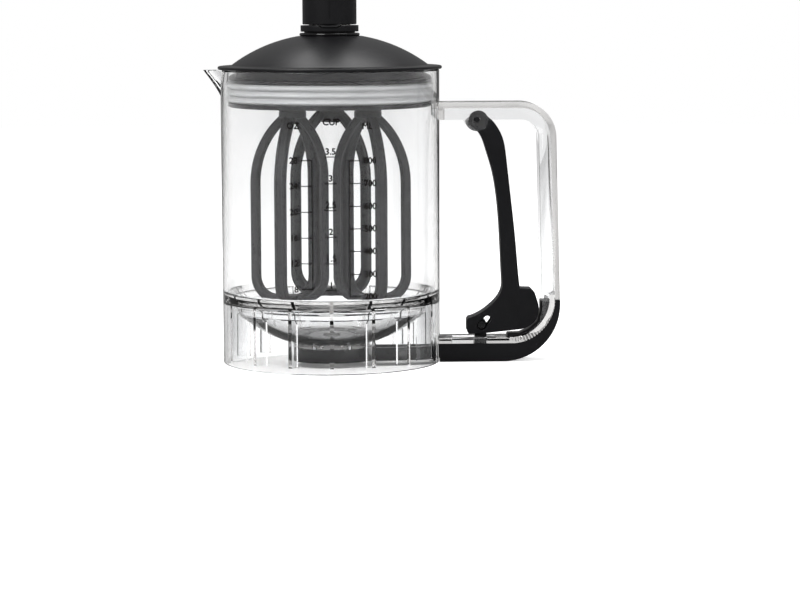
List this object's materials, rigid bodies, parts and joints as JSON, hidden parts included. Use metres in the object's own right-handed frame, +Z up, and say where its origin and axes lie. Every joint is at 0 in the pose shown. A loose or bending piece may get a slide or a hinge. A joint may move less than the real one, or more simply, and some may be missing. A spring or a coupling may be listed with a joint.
{
  "type": "batter dispenser",
  "caption": "Clear jar with a squeeze trigger that opens a sliding valve in its base, a plug-in lid, and a push pump that spins three whisk heads inside.",
  "frame": {"origin": "on the jar's axis, on the plane that the jar's base ring stands on", "axes": "+Z up along the jar's axis, +X towards the handle, -X towards the spout, the measuring scale faces -Y"},
  "size_m": [0.1807, 0.1132, 0.2621],
  "materials": {
    "clear_plastic": "clear moulded plastic, polished",
    "black_satin": "satin black moulded plastic",
    "black_gloss": "gloss black moulded plastic",
    "whisk_grey": "dark grey nylon",
    "silicone": "translucent pale silicone",
    "steel": "stainless steel",
    "acetal": "white acetal"
  },
  "bodies": {
    "jar_body": {"jar": "clear_plastic", "handle_frame": "clear_plastic", "base_rail": "black_satin", "rail_screws": "steel", "valve_seal": "silicone", "outlet_nozzle": "black_satin", "slide_spring": "steel", "trigger_pin": "steel", "corner_insert": "black_satin"},
    "trigger": {"trigger_lever": "black_satin"},
    "slide": {"valve_slide": "black_satin", "drive_pin": "black_gloss"},
    "lid": {"lid_dome": "black_satin", "lid_plug": "black_satin", "lid_seal": "silicone", "neck_ring": "black_gloss", "lock_collar": "black_satin", "guide_tube": "black_satin", "spindle_bush": "acetal"},
    "pump": {"pump_sleeve": "black_satin", "pump_cap": "black_satin", "push_tube": "steel", "drive_nut": "acetal", "drive_washer": "steel"},
    "whisks": {"rotor_disc": "whisk_grey", "twisted_spindle": "steel", "retaining_clip": "steel", "whisk_left": "whisk_grey", "whisk_right": "whisk_grey", "whisk_back": "whisk_grey"}
  },
  "joints": [
    {"name": "lid_lift", "type": "slide", "parent": "jar_body", "child": "lid", "axis": [0, 0, 1], "range_m": [0, 0.15]},
    {"name": "pump_slide", "type": "slide", "parent": "lid", "child": "pump", "axis": [0, 0, 1], "range_m": [0, 0.05]},
    {"name": "whisk_spin", "type": "hinge", "parent": "lid", "child": "whisks", "pos_m": [0, 0, 0.13], "axis": [0, 0, -1], "range_deg": [0, 360]},
    {"name": "trigger_pull", "type": "hinge", "parent": "jar_body", "child": "trigger", "pos_m": [0.0738, 0, 0.123], "axis": [0, 1, 0], "range_deg": [0, 6]},
    {"name": "valve_slide_travel", "type": "slide", "parent": "jar_body", "child": "slide", "axis": [-1, 0, 0], "range_m": [0, 0.011]}
  ],
  "couplings": [
    {"joint": "whisk_spin", "follows": "pump_slide", "rad_per_m": 125.65},
    {"joint": "valve_slide_travel", "follows": "trigger_pull", "m_per_rad": 0.10409}
  ]
}
